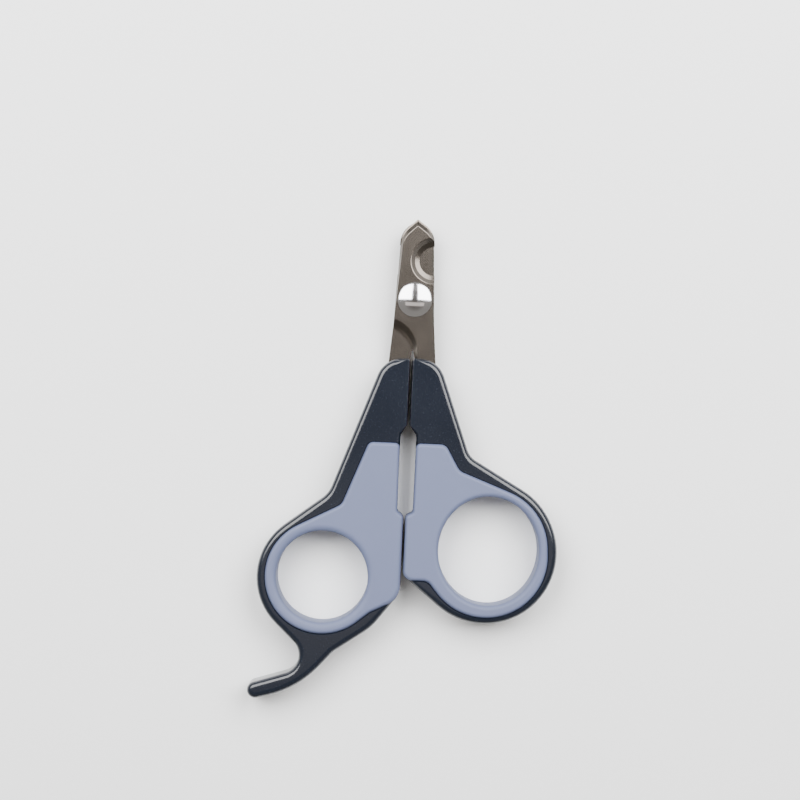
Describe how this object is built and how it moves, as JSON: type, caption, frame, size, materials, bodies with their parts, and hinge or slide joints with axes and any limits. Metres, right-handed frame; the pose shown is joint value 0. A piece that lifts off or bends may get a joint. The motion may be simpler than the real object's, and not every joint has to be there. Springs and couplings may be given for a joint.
{
  "type": "pet nail clipper",
  "caption": "Scissor-type pet nail clipper with crossed steel blades, semicircular nail notches, a domed pivot rivet, soft-lined finger loops and a curved finger rest.",
  "frame": {"origin": "centre of the closed tool's footprint, on the flat that the grips lie on", "axes": "+Y along the tool towards the blade tips, +Z out of the face with the rivet's dome, +X towards the larger finger loop"},
  "size_m": [0.075, 0.12, 0.0096],
  "materials": {
    "front_blade_steel": "satin ground stainless steel, warm grey",
    "rear_blade_steel": "satin ground stainless steel, warm grey",
    "rivet_chrome": "mirror polished dome",
    "washer_steel": "bright plated",
    "left_frame_plastic": "dark navy hard plastic, semi-gloss, faint speckle",
    "right_frame_plastic": "dark navy hard plastic, semi-gloss, faint speckle",
    "left_grip_rubber": "light blue-grey soft overmoulding, matte",
    "right_grip_rubber": "light blue-grey soft overmoulding, matte"
  },
  "bodies": {
    "left_half": {"rear_blade": "rear_blade_steel", "left_frame": "left_frame_plastic", "left_grip": "left_grip_rubber", "pivot_rivet": "rivet_chrome", "rivet_washer": "washer_steel"},
    "right_half": {"front_blade": "front_blade_steel", "right_frame": "right_frame_plastic", "right_grip": "right_grip_rubber"}
  },
  "joints": [
    {"name": "blade_pivot", "type": "hinge", "parent": "left_half", "child": "right_half", "pos_m": [-0.00036, 0.0401, 0.0048], "axis": [0, 0, 1], "range_deg": [0, 50]}
  ]
}
